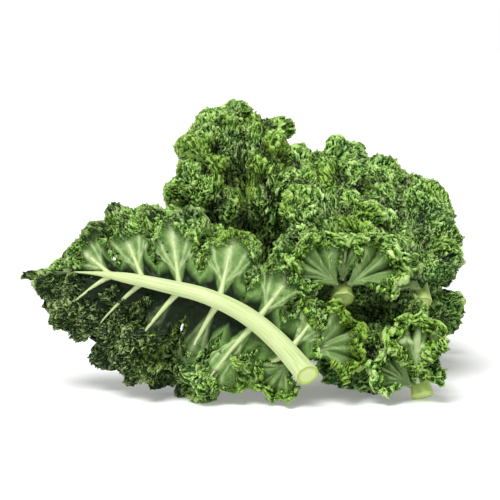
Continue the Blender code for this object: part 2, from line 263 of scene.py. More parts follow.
# Planes that keep neighbouring leaves apart, as in the solids: the leaf that the plane faces, the leaf
# behind it, a point in millimetres of the layout and the way the plane faces
BETWEEN = (
    ("middle_leaf", "crown_leaf", (32, 10, 140), (1.0, -0.25, 0.0)),
    ("right_leaf", "middle_leaf", (102, 20, 130), (1.0, 0.10, 0.0)),
    ("middle_leaf", "low_leaf", (90, -20, 70), (-0.10, -0.10, 1.0)),
    ("right_leaf", "low_leaf", (120, -10, 68), (0.10, 0.20, 1.0)),
    ("crown_leaf", "front_leaf", (0, -30, 110), (0.22, 1.0, 0.10)),
    ("back_leaf", "middle_leaf", (80, 74, 150), (0.0, 1.0, 0.20)),
    ("back_leaf", "right_leaf", (110, 82, 150), (0.0, 1.0, 0.10)),
    ("back_leaf", "crown_leaf", (54, 90, 120), (1.0, 0.30, 0.0)),
    ("low_leaf", "front_leaf", (58, -72, 30), (1.0, 0.45, 0.0)),
    ("middle_leaf", "front_leaf", (30, -52, 90), (0.60, 0.80, 0.10)),
    ("low_leaf", "crown_leaf", (50, 40, 40), (1.0, -0.60, 0.0)),
)


def ease(value: Array, low: float | Array, high: float | Array) -> Array:
    """0 below low, 1 above high, smooth between."""
    t = np.clip((value - low) / (high - low), 0.0, 1.0)
    return t * t * (3.0 - 2.0 * t)


def unit(vectors: Array) -> Array:
    """Vectors brought to length one."""
    return vectors / np.maximum(np.linalg.norm(vectors, axis=-1, keepdims=True), 1e-12)


def bell(value: Array, width: float | Array) -> Array:
    """1 where the value is 0, falling off on both sides over that width."""
    return np.exp(-((value / width) ** 2))


def layout(places: Triple | tuple[Triple, ...]) -> Array:
    """Places given in millimetres of the layout, in metres from the heap's middle."""
    return (np.array(places, float) - np.array(HEAP_MIDDLE)) * MM


class Waves:
    """A smooth random field in space: plane waves of nearly one length in random directions."""

    COUNT = 20
    SPREAD = 0.25

    def __init__(self, wavelength: float, seed: int) -> None:
        """Draws waves of that mean length, in metres."""
        draw = np.random.default_rng(seed)
        ways = unit(draw.normal(size=(self.COUNT, 3)))
        lengths = wavelength * draw.uniform(1 - self.SPREAD, 1 + self.SPREAD, self.COUNT)
        self.numbers = (ways * (2 * math.pi / lengths)[:, None]).T
        self.phases = draw.uniform(0, 2 * math.pi, self.COUNT)

    def __call__(self, points: Array) -> Array:
        """The field at each point, of mean 0 and spread 1."""
        return np.cos(points @ self.numbers + self.phases).sum(axis=1) * math.sqrt(2.0 / self.COUNT)


class Route:
    """A leaf's midrib: a smooth line with a frame (ahead, side, face) at each length along it."""

    def __init__(self, form: LeafForm) -> None:
        """Draws the line through the leaf's listed points."""
        points = layout(form.route)
        whole = np.vstack([2 * points[0] - points[1], points, 2 * points[-1] - points[-2]])
        at = np.linspace(0, len(points) - 1, ROUTE_SAMPLES)
        cell = np.minimum(at.astype(int), len(points) - 2)
        t = (at - cell)[:, None]
        a, b, c, d = (whole[cell + k] for k in range(4))
        curved = (2 * a - 5 * b + 4 * c - d) * t**2 + (3 * b - a - 3 * c + d) * t**3
        self.line = 0.5 * (2 * b + (c - a) * t + curved)
        steps = np.linalg.norm(np.diff(self.line, axis=0), axis=1)
        self.along = np.concatenate([[0.0], np.cumsum(steps)])
        self.length = float(self.along[-1])
        self.ahead = unit(np.gradient(self.line, axis=0))
        share = (self.along / self.length)[:, None]
        face = (1 - share) * np.array(form.faces[0]) + share * np.array(form.faces[1])
        self.face = unit(face - (face * self.ahead).sum(1)[:, None] * self.ahead)

    def frame(self, along: Array) -> tuple[Array, Array, Array, Array]:
        """Centre, ahead, side and face at lengths along the route, which runs on straight past its ends."""
        inside = np.clip(along, 0.0, self.length)
        centre, ahead, face = (
            np.stack([np.interp(inside, self.along, table[:, k]) for k in range(3)], axis=-1)
            for table in (self.line, self.ahead, self.face)
        )
        centre = centre + (along - inside)[..., None] * ahead
        return centre, ahead, np.cross(ahead, face), face

    def place(self, along: Array, across: Array, height: Array, bend: float) -> Array:
        """Carries points of the flat leaf onto the route, bent across it to the curvature bend."""
        centre, _, side, face = self.frame(along)
        turn = (bend * np.abs(across))[..., None]
        out = np.sign(across)[..., None] * side
        normal = np.cos(turn) * face - np.sin(turn) * out
        return (centre + np.sin(turn) / bend * out + (1.0 - np.cos(turn)) / bend * face
                + height[..., None] * normal)


class BladeShape:
    """One leaf's blade as a formula of how far round its margin (u) and how far out to it (v) a point is."""

    LOBE_ANGLE = 86
    ANGLE_POWER = 2.6
    LEAN = 0.12
    STRETCH = 0.10
    LIFT = 0.06
    STAGGER = 0.10
    HOOK = 0.25
    END = 0.93
    FOOT_POWER = 1.15
    LOBE_ROUNDNESS = 0.6
    PROBE = 0.004
    LEAST_OUT = 0.002
    LEAST_ROUND = 0.02
    NEAR_MIDRIB = 0.14

    def __init__(self, form: LeafForm) -> None:
        """Draws what varies from lobe to lobe, in the order that the solids draw it."""
        self.form = form
        self.route = Route(form)
        draw = np.random.default_rng(form.seed)
        shape = (2, form.lobes + 1)
        self.lean = draw.uniform(-self.LEAN, self.LEAN, shape)
        self.stretch = draw.uniform(1 - self.STRETCH, 1 + self.STRETCH, shape)
        self.lift = draw.uniform(-self.LIFT, self.LIFT, shape) + self.STAGGER * (-1.0) ** np.arange(shape[1])
        self.hook = draw.uniform(1 - self.HOOK, 1 + self.HOOK, shape)
        for table in (self.lean, self.stretch, self.lift, self.hook):
            table[:, -1] = table[0, -1]
        self.planes = [(np.array((0.0, 0.0, FLOOR_LEVEL)), np.array((0.0, 0.0, 1.0)))]
        for ahead, behind, point, facing in BETWEEN:
            if form.name in (ahead, behind):
                way = unit(np.array(facing))
                self.planes.append((layout(point), way if form.name == ahead else -way))

    def lobe(self, u: Array) -> Array:
        """How many lobes up from the base each part of the margin is."""
        return (self.form.lobes + 0.5) * u

    def beside(self, u: Array) -> Array:
        """How far each part of the margin is from the middle of its lobe, -0.5 to 0.5."""
        return self.lobe(u) - np.floor(self.lobe(u)) - 0.5

    def blended(self, table: Sides | Array, side: int, u: Array) -> Array:
        """The value that a table has for each lobe, reached at its middle and blended to the next lobe's."""
        return np.interp(self.lobe(u), np.arange(len(table[side])) + 0.5, table[side])

    def foot(self, u: Array) -> Array:
        """Where on the midrib each part of the margin springs from, as a length along the route."""
        p = self.lobe(u)
        part = 2 * (p - np.floor(p)) - 1
        gathered_up = 0.5 + 0.5 * np.sign(part) * np.abs(part) ** self.form.neck
        share = (np.floor(p) + gathered_up) / (self.form.lobes + 0.5)
        end = self.route.length * self.END
        return end - (end - self.form.bare) * np.clip(1 - share, 0, 1) ** self.FOOT_POWER

    def points(self, side: int, u: Array, v: Array) -> Array:
        """Places on the blade's middle surface.

        Args:
            side: 0 for the leaf's right and 1 for its left.
            u: how far round the margin from the base (0) to the tip (1).
            v: how far out from the midrib (0) to the margin (1).

        Returns:
            One place for each pair of u and v.
        """
        form = self.form
        p = self.lobe(u)
        outline = form.sinus + (1 - form.sinus) * np.abs(np.sin(math.pi * p)) ** self.LOBE_ROUNDNESS
        base = form.base[side] * (1 - ease(u, 0.0, 0.40))
        swell = base + ease(u, 0.0, 0.40) - (1 - form.tip) * ease(u, 0.60, 1.0)
        sized = self.blended(self.stretch, side, u) * self.blended(form.sized, side, u)
        reach = form.reach[side] * swell * outline * sized
        closing = 1 - ease(u, 0.85, 1.0)
        fan = math.radians(form.fan) * np.sin(2 * math.pi * p) + self.blended(self.lean, side, u)
        angle = math.radians(self.LOBE_ANGLE) * (1 - u**self.ANGLE_POWER) + fan * closing
        rise = math.radians(form.rise) + self.blended(self.lift, side, u) * closing
        arc = math.radians(form.curl) / (1 - form.bowl) * self.blended(self.hook, side, u)
        curled = np.maximum(v - form.bowl, 0.0)
        flat_out = reach * (np.minimum(v, form.bowl) + np.sin(arc * curled) / arc)
        flat_up = reach * (1 - np.cos(arc * curled)) / arc
        out = flat_out * np.cos(rise) - flat_up * np.sin(rise)
        height = flat_out * np.sin(rise) + flat_up * np.cos(rise)
        across = out * np.sin(angle) * (1 if side == 0 else -1)
        placed = self.route.place(self.foot(u) + out * np.cos(angle), across, height, form.bend[side])
        return self.held_clear(placed)

    def held_clear(self, points: Array) -> Array:
        """Points moved softly to the clear side of each plane. Those well clear of it stay."""
        for origin, facing in self.planes:
            distance = (points - origin) @ facing - CLEARANCE
            near = np.minimum(distance, CLEAR_SOFTNESS)
            squeezed = CLEAR_SOFTNESS * np.exp((near - CLEAR_SOFTNESS) / CLEAR_SOFTNESS)
            points = points + (squeezed - near)[..., None] * facing
        return points

    def normals(self, side: int, u: Array, v: Array) -> Array:
        """The way the upper face looks at each point, the same for both sides at the midrib."""
        low_u, high_u = (np.clip(u + step, 0, 1) for step in (-self.PROBE, self.PROBE))
        low_v, high_v = (np.clip(v + step, self.LEAST_OUT, 1) for step in (-self.PROBE, self.PROBE))
        wide_v = np.maximum(v, self.LEAST_ROUND)
        round_it = self.points(side, high_u, wide_v) - self.points(side, low_u, wide_v)
        outward = self.points(side, u, high_v) - self.points(side, u, low_v)
        crossed = unit(np.cross(round_it, outward) * (1 if side == 1 else -1))
        middle = self.route.frame(self.foot(u))[3]
        share = ease(v, 0.0, self.NEAR_MIDRIB)[:, None]
        return unit(share * crossed + (1 - share) * middle)


def join(first: Array, second: Array) -> Array:
    """Triangles between two rows of vertex numbers, of which one may have twice as many spaces."""
    if len(first) > len(second):
        return join(second, first)[:, ::-1]
    a, b = first[:-1], first[1:]
    if len(first) == len(second):
        c, d = second[:-1], second[1:]
        return np.vstack([np.column_stack([a, c, d]), np.column_stack([a, d, b])])
    c, d, e = second[0:-2:2], second[1:-1:2], second[2::2]
    return np.vstack([np.column_stack([a, c, d]), np.column_stack([a, d, b]), np.column_stack([b, d, e])])


class Frills:
    """The frills of one leaf: thin walls that meander over its faces, with notched, leaning crests."""

    HEIGHT = 0.0040
    WALL = 0.46
    FINE_WALL = 0.50
    FINE_SHARE = 0.85
    MEAN_TALL = 0.82
    VARIED = 0.12
    TALL_RANGE = (0.20, 1.25)
    SWAY = 0.0011
    CURL = 0.0006

    def __init__(self, seed: int) -> None:
        """Draws the random fields."""
        self.wall = Waves(0.0043, seed + 1)
        self.wall_fine = Waves(0.0030, seed + 2)
        self.height = Waves(0.0070, seed + 3)
        self.notch = Waves(0.0024, seed + 4)
        self.sway = [Waves(0.0060, seed + 5 + k) for k in range(3)]
        self.curl = [Waves(0.0027, seed + 8 + k) for k in range(3)]

    def __call__(self, side_up: float, grown: Array, spot: Array,
                 normal: Array) -> tuple[Array, Array]:
        """How far the frills move each point of one face, and how near it is to their crests.

        Args:
            side_up: 1 for the upper face and -1 for the under face.
            grown: how far the frills are grown at each point.
            spot: the points before the move.
            normal: the way the upper face looks there.

        Returns:
            The moves and the crest values (0 in the valleys, 1 on the highest edges).
        """
        wall = bell(self.wall(spot), self.WALL)
        fine = bell(self.wall_fine(spot), self.FINE_WALL)
        tall = self.MEAN_TALL + self.VARIED * self.height(spot) + self.VARIED * self.notch(spot)
        crest = np.maximum(wall, self.FINE_SHARE * fine) * np.clip(tall, *self.TALL_RANGE) * grown
        sway = np.column_stack([self.SWAY * wide(spot) + self.CURL * near(spot)
                                for wide, near in zip(self.sway, self.curl)])
        sway -= (sway * normal).sum(1)[:, None] * normal
        return normal * side_up * (self.HEIGHT * crest)[:, None] + sway * crest[:, None], crest


class Blade:
    """One side of a leaf's blade: a closed sheet with frills on its faces."""

    # Near the midrib only every fourth vertex of the margin is kept, up to the first share of the way out
    BANDS = ((0.20, 4), (0.48, 2), (2.0, 1))
    # The spaces along the margin come in eights, so that the bands of the coarser face end on vertices too
    MULTIPLE = 8
    SAMPLES = 6001
    MARGIN = (0.80, 0.85)
    OUTWARD_SHARE = 0.65
    ROWS_EXTRA = 1.12
    GROWING = 0.15
    CLUMPS = 0.0042
    CRINKLES = 0.0007
    VEIN_LIFT = 0.0007
    LEAST_HEIGHT = 0.0002
    NEAR_FLOOR = 0.002
    PATCH_TONE = 0.35
    # Painted shade in the hollows between clumps, in the valley along the midrib and in the gaps beside the
    # lobes.
    HOLLOW_SHADE = 0.75
    VALLEY_SHADE = 0.35
    VALLEY_WIDTH = 0.12
    GAP_SHADE = 1.5
    VEIN_WIDTH = 0.050
    SIDE_VEIN_WIDTH = 0.024
    SIDE_VEINS = ((0.14, 0.10), (0.27, 0.16), (0.39, 0.22))

    def __init__(self, form: LeafForm, side: int) -> None:
        """Prepares one side of the blade, 0 for the leaf's right and 1 for its left."""
        self.form = form
        self.side = side
        self.shape = BladeShape(form)
        self.frills = Frills(form.seed * 100)
        self.clump = Waves(0.021, form.seed * 100 + 9)
        self.patch = Waves(0.050, form.seed * 100 + 10)
        self.crinkle = Waves(0.0075, form.seed * 100 + 11)
        self.spots: list[Array] = []
        self.triangles: list[Array] = []
        self.values: dict[Attribute, list[Array]] = {}

    def columns(self) -> Array:
        """The u of each vertex of the margin, closer together where the margin is longer."""
        dense = np.linspace(0, 1, self.SAMPLES)
        inner, edge = (self.shape.points(self.side, dense, np.full(len(dense), v)) for v in self.MARGIN)
        step = np.diff(edge, axis=0)
        outward = unit(edge - inner)[:-1]
        radial = (step * outward).sum(1)[:, None] * outward
        length = np.linalg.norm(step - self.OUTWARD_SHARE * radial, axis=1)
        run = np.concatenate([[0.0], np.cumsum(length)])
        groups = int(round(run[-1] / self.form.spacing / self.MULTIPLE))
        count = max(self.MULTIPLE, groups) * self.MULTIPLE
        return np.interp(np.linspace(0, run[-1], count + 1), run, dense)

    def amount(self, face: Face, u: Array, v: Array) -> Array:
        """How far the frills are grown at each point of a face, 0 to 1."""
        if face is Face.UPPER:
            return np.ones(len(v))
        p = self.shape.lobe(u)
        wavering = 0.05 * np.sin(11 * p) + 0.03 * np.sin(29 * p)
        start = self.shape.blended(self.form.under_start, self.side, u) + wavering
        return ease(v, start, start + self.GROWING)

    def dented(self, spot: Array, normal: Array) -> tuple[Array, Array]:
        """How far the leaf's bulges and hollows push each point outwards, and how much painted shade they
        put on it, painted light where negative.
        """
        pushed, shaded = np.zeros((2, len(spot)))
        for x, z, width, height, push, shade in self.form.dents:
            away = ((spot[:, 0] / MM - x) / width) ** 2 + ((spot[:, 2] / MM - z) / height) ** 2
            near = np.exp(-away) * ease(-normal[:, 1], -0.2, 0.3)
            pushed += push * MM * near
            shaded += shade * near
        return pushed, shaded

    def dress(self, face: Face, u: Array, v: Array) -> None:
        """Adds the vertices of one face, and how each one is coloured.

        Args:
            face: which face.
            u: how far round the margin each vertex is.
            v: how far out to the margin each vertex is.
        """
        form = self.form
        spot = self.shape.points(self.side, u, v)
        normal = self.shape.normals(self.side, u, v)
        grown = self.amount(face, u, v)
        moves, crest = self.frills(face.value, grown, spot, normal)
        vein = self.veins(u, v)
        clump = self.clump(spot)
        pushed, shaded = self.dented(spot, normal)
        lumpy = self.amount(Face.UNDER, u, v) if form.fine_under else 1.0
        swell = self.CLUMPS * clump * ease(v, 0.05, 0.5) * lumpy - form.sunk * ease(v, 0.0, 0.3) + pushed
        swell = swell + self.CRINKLES * self.crinkle(spot) * (1 - grown) * ease(v, 0.1, 0.3)
        if face is Face.UNDER:
            swell = swell - self.VEIN_LIFT * vein * (1 - grown)
        spot = spot + moves + normal * (swell + face.value * BLADE_THICK / 2)[:, None]
        low = spot[:, 2]
        soft = self.NEAR_FLOOR - self.LEAST_HEIGHT
        held = self.LEAST_HEIGHT + soft * np.exp(np.minimum(low - self.NEAR_FLOOR, 0) / soft)
        spot[:, 2] = np.where(low < self.NEAR_FLOOR, held, low)
        self.spots.append(spot)
        # Painted shade: per lobe and per dent (painted light where negative), in the hollows between clumps,
        # in the valley along the midrib and in the gaps beside the lobes near the midrib.
        shade = self.shape.blended(form.shade, self.side, u) + shaded
        shade += self.HOLLOW_SHADE * np.clip(-clump, 0, 1.5) * grown
        if not form.fine_under:
            shade += self.VALLEY_SHADE * np.exp(-v / self.VALLEY_WIDTH) * grown
        gap = ease(np.abs(self.shape.beside(u)), 0.06, 0.30) * (1 - ease(v, 0.20, 0.55)) * (1 - grown)
        found = {
            Attribute.CREST: crest, Attribute.UNDER: 1 - grown, Attribute.VEIN: vein,
            Attribute.TONE: form.tone + self.PATCH_TONE * self.patch(spot),
            Attribute.SHADE: np.clip(shade + self.GAP_SHADE * gap, -1, 1),
        }
        for key, value in found.items():
            self.values.setdefault(key, []).append(value)

    def face_rows(self, face: Face, u_all: Array, rows: int) -> list[Array]:
        """Adds one face of the blade.

        Args:
            face: which face.
            u_all: the u of each vertex of the margin.
            rows: how many spaces there are from the midrib to the margin.

        Returns:
            The vertex numbers of each row, from the midrib out.
        """
        count = sum(len(part) for part in self.spots)
        us, vs, numbers = [], [], []
        for v_row in np.linspace(0, 1, rows + 1):
            skip = next(share for limit, share in self.BANDS if v_row < limit)
            us.append(u_all[::skip])
            vs.append(np.full(len(us[-1]), v_row))
            numbers.append(np.arange(count, count + len(us[-1])))
            count += len(us[-1])
        self.dress(face, np.concatenate(us), np.concatenate(vs))
        made = np.vstack([join(near, far) for near, far in zip(numbers, numbers[1:])])
        self.add(made, (self.side == 1) == (face is Face.UPPER))
        return numbers

    def add(self, made: Array, flip: bool) -> None:
        """Keeps triangles, turned over where flip is true."""
        self.triangles.append(made[:, ::-1] if flip else made)

    def build(self) -> Mesh:
        """The half blade's vertices, triangles and vertex values."""
        form = self.form
        u_all = self.columns()
        rows = int(round(form.reach[self.side] * self.ROWS_EXTRA / form.spacing / 2)) * 2
        seen, hidden = (Face.UNDER, Face.UPPER) if form.fine_under else (Face.UPPER, Face.UNDER)
        made = {seen: self.face_rows(seen, u_all, rows)}
        made[hidden] = self.face_rows(hidden, u_all[::2], rows // 2)
        under, upper = made[Face.UNDER], made[Face.UPPER]
        right = self.side == 0
        for end in (-1, 0):
            self.add(join(under[end], upper[end]), right == (end == -1))
        for end in (0, -1):
            columns = [np.array([row[end] for row in face]) for face in (under, upper)]
            self.add(join(*columns), right == (end == 0))
        values = {key: np.concatenate(parts) for key, parts in self.values.items()}
        return np.vstack(self.spots), np.vstack(self.triangles), values

    def veins(self, u: Array, v: Array) -> Array:
        """How near each point is to a vein that runs out through a lobe, 0 to 1."""
        part = self.shape.beside(u)
        main = bell(part, self.VEIN_WIDTH * (1 - 0.6 * v)) * (1 - ease(v, 0.75, 1.0))
        width = self.SIDE_VEIN_WIDTH * (1.2 - 0.6 * v)
        sides = np.zeros_like(v)
        for place, start in self.SIDE_VEINS:
            aside = np.abs(part) - place * ease(v, start - 0.1, start + 0.35)
            sides = np.maximum(sides, 0.75 * bell(aside, width) * ease(v, start, start + 0.1))
        return np.maximum(main, sides * (1 - ease(v, 0.7, 0.95)))


class Fan:
    """A small leaflet: a cupped fan with raised veins, a waved margin and frills near it."""

    SPACING = 0.00085
    START = 0.05
    PROBE = 0.01
    EDGE_LENGTH = 2.6
    FOOT_WIDTH = 0.2
    FOOT_THICK = 0.0020
    FOOT_FADE = 0.12
    CUP = 0.34
    DROOP = 0.22
    VEIN_LIFT = 0.0005
    STEM_LIFT = 0.0016
    VEIN_WIDTH = 0.035
    SIDE_VEIN_WIDTH = 0.020
    STEM_WIDTH = 0.13
    FORK_WIDTH = 0.08
    SIDE_VEINS = ((-0.34, 0.10), (0.42, 0.22), (-0.62, 0.34), (0.78, 0.05), (-0.88, 0.12))
    RIM_HIGHLIGHT = 0.85
    LEAST_HEIGHT = 0.0003
    SHADED_TONE = -0.5

    def __init__(self, form: FanForm) -> None:
        """Sets up the fan's own directions."""
        self.form = form
        self.ahead = unit(np.array(form.ahead, float))
        face = np.array(form.face, float)
        self.face = unit(face - (face @ self.ahead) * self.ahead)
        self.side = np.cross(self.ahead, self.face)
        self.foot = layout(form.foot)
        self.phase = np.random.default_rng(form.seed).uniform(0, 2 * math.pi, 4)

    def points(self, r: Array, turn: Array) -> Array:
        """Places on the fan's middle surface.

        Args:
            r: the way out from the foot, 0 to 1.
            turn: the way round, -1 to 1.

        Returns:
            One place for each pair.
        """
        form = self.form
        length = form.length * (1 - 0.22 * turn**2 + 0.06 * np.cos(4 * math.pi * turn + self.phase[0]))
        angle = math.radians(form.spread) * turn * (0.45 + 0.95 * r)
        waves = 0.13 * np.sin(3.2 * math.pi * turn + self.phase[1])
        waves = waves + 0.09 * np.sin(6.5 * math.pi * turn + self.phase[2] + 2 * r)
        height = length * (self.CUP * turn**2 * r - self.DROOP * r**2.2 + ease(r, 0.20, 1.0) * waves)
        out = r * length
        parts = ((out * np.cos(angle), self.ahead), (out * np.sin(angle), self.side), (height, self.face))
        return self.foot + sum(far[:, None] * way for far, way in parts)

    def drawn(self, r: Array, turn: Array) -> tuple[Array, Array, Array]:
        """What is on the fan at each point.

        Args:
            r: the way out from the foot, 0 to 1.
            turn: the way round, -1 to 1.

        Returns:
            How near each point is to a vein and to the thick forked stem, and how far its frills are grown.
        """
        wander = turn + 0.07 * np.sin(5.0 * r + self.phase[3])
        wander = wander + 0.025 * np.sin(17.0 * r + 3.0 * turn + self.phase[0])
        wide = self.FOOT_WIDTH + r
        vein = bell(wander * wide, self.VEIN_WIDTH)
        for place, start in self.SIDE_VEINS:
            aside = wander - place * ease(r, start - 0.15, start + 0.5)
            side_vein = bell(aside * wide, self.SIDE_VEIN_WIDTH) * ease(r, start, start + 0.15)
            vein = np.maximum(vein, 0.75 * side_vein)
        vein = 0.14 + 0.55 * vein * (1 - ease(r, 0.6, 0.95)) + 0.4 * np.exp(-r / self.FOOT_FADE)
        vein = np.clip(vein, 0, 1)
        stem = bell(wander * wide, self.STEM_WIDTH) * (1 - ease(r, 0.60, 0.85))
        fork = bell((np.abs(wander) - 0.70 * ease(r, 0.35, 0.95)) * wide, self.FORK_WIDTH)
        fork = fork * ease(r, 0.35, 0.50) * (1 - ease(r, 0.80, 0.95))
        stem = self.form.stem * np.maximum(stem, fork)
        grown = np.maximum(ease(r, 0.66, 0.90), ease(np.abs(turn), 0.84, 0.98) * ease(r, 0.30, 0.60))
        grown = np.maximum(grown, self.form.stem * ease(np.abs(turn), 0.40, 0.60) * ease(r, 0.10, 0.25))
        return np.maximum(vein, stem), stem, grown * (1 - 0.9 * stem)

    def build(self) -> Mesh:
        """The fan's vertices, triangles and vertex values."""
        form = self.form
        rows = int(form.length / self.SPACING)
        columns = int(self.EDGE_LENGTH * form.length * math.radians(form.spread) / self.SPACING)
        grid = np.meshgrid(np.linspace(self.START, 1, rows), np.linspace(-1, 1, columns), indexing="ij")
        r, turn = (axis.ravel() for axis in grid)
        spot = self.points(r, turn)
        outward = self.points(r + self.PROBE, turn) - self.points(r - self.PROBE, turn)
        round_it = self.points(r, turn + self.PROBE) - self.points(r, turn - self.PROBE)
        normal = unit(np.cross(outward, round_it))
        normal *= np.sign((normal * self.face).sum(1).mean())
        vein, stem, grown = self.drawn(r, turn)
        frills = Frills(7000 + 20 * form.seed)
        thick = BLADE_THICK / 2 + self.FOOT_THICK * np.exp(-r / self.FOOT_FADE)
        thick = thick + (self.VEIN_LIFT * vein + self.STEM_LIFT * stem) * (1 - grown)
        faces, crests = [], []
        for side_up in (1, -1):
            moves, crest = frills(side_up, grown, spot, normal)
            faces.append(spot + moves + normal * (side_up * thick)[:, None])
            # The rim gets a high crest value, so the material paints a highlight along it.
            crests.append(np.maximum(crest, self.RIM_HIGHLIGHT * ease(r, 0.955, 1.0)))
        top = np.arange(rows * columns).reshape(rows, columns)
        low = top + rows * columns
        made = [join(near, far) for near, far in zip(top, top[1:])]
        made += [join(near, far)[:, ::-1] for near, far in zip(low, low[1:])]
        made += [join(low[-1], top[-1])[:, ::-1], join(low[0], top[0])]
        made += [join(low[:, 0], top[:, 0])[:, ::-1], join(low[:, -1], top[:, -1])]
        triangles = np.vstack(made)
        spots = np.vstack(faces)
        corners = spots[triangles]
        volume = np.einsum("ij,ij->i", corners[:, 0], np.cross(corners[:, 1], corners[:, 2])).sum()
        # Painted shade: darker near the foot, where the leaflet meets the stalk, and all over a fan whose
        # tone is below -0.5.
        shade = 0.35 * np.exp(-r / 0.35) + (0.5 if form.tone < self.SHADED_TONE else 0.0)
        values = {
            Attribute.CREST: np.concatenate(crests), Attribute.UNDER: np.tile(1 - grown, 2),
            Attribute.VEIN: np.tile(vein, 2), Attribute.TONE: np.full(len(spots), form.tone),
            Attribute.SHADE: np.tile(shade, 2),
        }
        spots[:, 2] = np.maximum(spots[:, 2], self.LEAST_HEIGHT)
        return spots, triangles if volume > 0 else triangles[:, ::-1], values


def gathered(parts: list[Mesh]) -> Mesh:
    """Several meshes as one."""
    starts = np.cumsum([0] + [len(spots) for spots, _, _ in parts])
    triangles = np.vstack([made + first for (_, made, _), first in zip(parts, starts)])
    values = {key: np.concatenate([part[2][key] for part in parts]) for key in parts[0][2]}
    return np.vstack([spots for spots, _, _ in parts]), triangles, values


def linked(name: str, data: bpy.types.ID) -> bpy.types.Object:
    """A new object of that data, linked to the scene."""
    made = bpy.data.objects.new(name, data)
    bpy.context.scene.collection.objects.link(made)
    return made


def mesh_object(name: str, built: Mesh, material: bpy.types.Material) -> bpy.types.Object:
    """A smooth mesh object of those vertices, triangles and vertex values, linked to the scene."""
    spots, triangles, values = built
    mesh = bpy.data.meshes.new(name)
    mesh.vertices.add(len(spots))
    mesh.vertices.foreach_set("co", spots.astype(np.float32).ravel())
    mesh.loops.add(triangles.size)
    mesh.loops.foreach_set("vertex_index", triangles.astype(np.int32).ravel())
    mesh.polygons.add(len(triangles))
    mesh.polygons.foreach_set("loop_start", np.arange(0, triangles.size, 3, dtype=np.int32))
    mesh.update(calc_edges=True)
    for key, row in values.items():
        kind, field = ("FLOAT_VECTOR", "vector") if row.ndim == 2 else ("FLOAT", "value")
        layer = mesh.attributes.new(key.value, kind, "POINT")
        layer.data.foreach_set(field, row.astype(np.float32).ravel())
    mesh.shade_smooth()
    mesh.materials.append(material)
    return linked(name, mesh)


